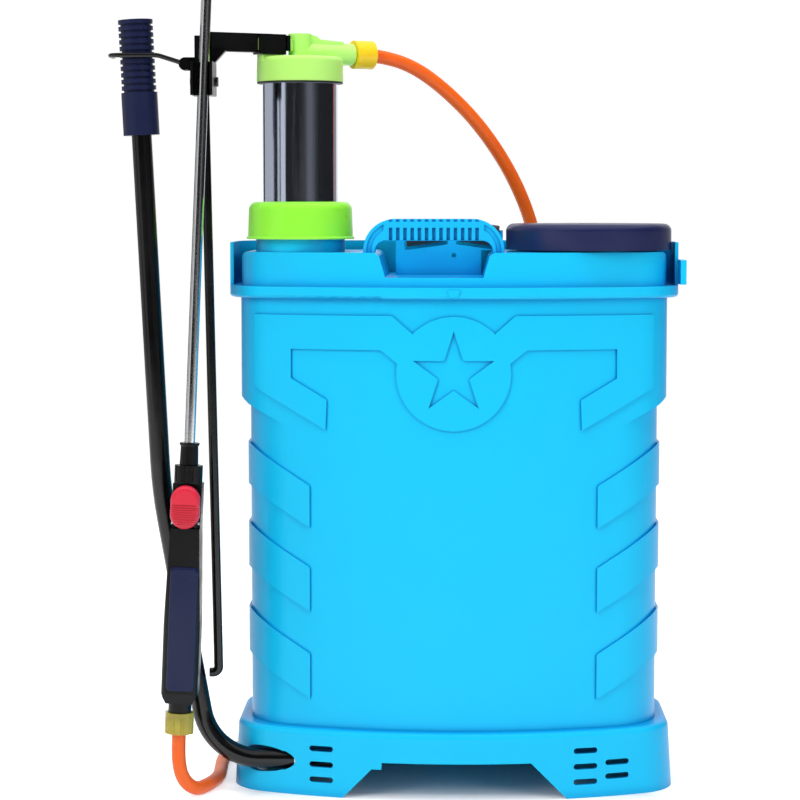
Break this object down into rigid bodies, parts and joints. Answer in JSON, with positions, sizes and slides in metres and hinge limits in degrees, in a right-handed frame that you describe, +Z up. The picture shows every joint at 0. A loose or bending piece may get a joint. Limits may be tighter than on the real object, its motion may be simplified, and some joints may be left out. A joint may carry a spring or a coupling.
{
  "type": "backpack sprayer",
  "caption": "Backpack sprayer: moulded tank on a base, lever-worked pump with a steel air chamber, trigger lance on a hose, filler lid, carry handle and shoulder straps",
  "frame": {"origin": "on the floor, under the middle of the tank", "axes": "X across the tank with the pump on its minus side, Y from the front towards the wearer's back, Z up"},
  "size_m": [0.4908, 0.2365, 0.8022],
  "materials": {
    "tank": "moulded, slightly translucent",
    "green": "moulded",
    "lime": "moulded, waxy",
    "yellow": "moulded",
    "olive": "translucent",
    "navy": "moulded",
    "black": "moulded",
    "black_paint": "gloss paint",
    "steel": "polished",
    "red": "moulded",
    "hose": "smooth orange",
    "seal": "soft",
    "inner": "moulded",
    "webbing": "woven",
    "pad": "padded"
  },
  "bodies": {
    "tank": {"base_skirt": "tank", "carry_handle": "tank", "collar_gasket": "seal", "foot_valve_seat": "inner", "guide_bush": "inner", "lever_bushes": "inner", "lid_gasket": "seal", "pump_barrel": "inner", "pump_collar": "green", "strainer_basket": "inner", "strap_buckle_left": "black", "strap_buckle_right": "black", "strap_loops": "webbing", "strap_pad_left": "pad", "strap_pad_right": "pad", "strap_plate": "tank", "strap_web_left": "webbing", "strap_web_right": "webbing", "suction_strainer": "inner", "tank_shell": "tank", "top_tray": "tank"},
    "lid": {"filler_lid": "navy", "lid_vent": "navy"},
    "chamber": {"air_chamber": "steel", "chamber_plug": "inner", "plunger_tube": "inner", "piston": "inner", "piston_cup": "seal", "cap_seal": "seal", "chamber_cap": "lime", "relief_plug": "inner", "upper_hose_nut": "yellow", "pump_arm": "black", "arm_clip": "black", "link_pin": "steel", "hook_pin": "black_paint", "hose_upper": "hose"},
    "hook": {"lever_hook": "black_paint"},
    "link": {"link_rod": "black_paint"},
    "lever": {"lever_tube": "black_paint", "lever_grip": "navy", "axle_washer": "steel", "axle_split_pin": "steel"},
    "lance": {"handle_body": "black", "grip_panel": "navy", "trigger_pin": "steel", "trigger_spring": "steel", "gland_nut": "black", "lance_socket": "black", "lance_tube": "steel", "nozzle_body": "black", "swirl_core": "inner", "lower_hose_nut": "olive", "hose_lower": "hose"},
    "trigger": {"trigger_button": "red"},
    "valve": {"valve_stem": "steel"},
    "nozzle": {"nozzle_cap": "yellow"},
    "foot_ball": {"foot_valve_ball": "steel"},
    "delivery_ball": {"delivery_ball": "steel"}
  },
  "joints": [
    {"name": "lever_swing", "type": "hinge", "parent": "tank", "child": "lever", "pos_m": [-0.133, -0.061, 0.029], "axis": [-1, 0, 0], "range_deg": [0, 75]},
    {"name": "pump_stroke", "type": "slide", "parent": "tank", "child": "chamber", "axis": [0, 0, -1], "range_m": [0, 0.0608], "deforming": ["hose_upper"]},
    {"name": "link_tilt", "type": "hinge", "parent": "chamber", "child": "link", "pos_m": [-0.2114, -0.061, 0.61], "axis": [1, 0, 0], "range_deg": [0, 8.23]},
    {"name": "hook_drop", "type": "hinge", "parent": "chamber", "child": "hook", "pos_m": [-0.2265, -0.0713, 0.6247], "axis": [0, -1, 0], "range_deg": [0, 80]},
    {"name": "lid_lift", "type": "slide", "parent": "tank", "child": "lid", "axis": [0, 0, 1], "range_m": [0, 0.06]},
    {"name": "lance_unclip", "type": "slide", "parent": "tank", "child": "lance", "axis": [0, -1, 0], "range_m": [0, 0.06], "deforming": ["hose_lower"]},
    {"name": "trigger_press", "type": "hinge", "parent": "lance", "child": "trigger", "pos_m": [-0.226, -0.09851, 0.2388], "axis": [-0.9991, 0.0008, 0.0426], "range_deg": [0, 8], "stiffness_Nm_per_rad": 0.3},
    {"name": "valve_travel", "type": "slide", "parent": "lance", "child": "valve", "axis": [0, 1, 0], "range_m": [0, 0.0038], "deforming": ["trigger_spring"]},
    {"name": "nozzle_turn", "type": "hinge", "parent": "lance", "child": "nozzle", "pos_m": [-0.20215, -0.07772, 0.79799], "axis": [0.0426, 0.0193, 0.9989], "continuous": true},
    {"name": "foot_ball_lift", "type": "slide", "parent": "tank", "child": "foot_ball", "axis": [0, 0, 1], "range_m": [0, 0.003]},
    {"name": "delivery_ball_lift", "type": "slide", "parent": "chamber", "child": "delivery_ball", "axis": [0, 0, 1], "range_m": [0, 0.003]}
  ],
  "couplings": [
    {"joint": "pump_stroke", "follows": "lever_swing", "m_per_rad": 0.046449},
    {"joint": "link_tilt", "follows": "lever_swing", "ratio": 0.10975},
    {"joint": "hook_drop", "follows": "lever_swing", "ratio": 1.0667},
    {"joint": "valve_travel", "follows": "trigger_press", "m_per_rad": 0.027215}
  ]
}
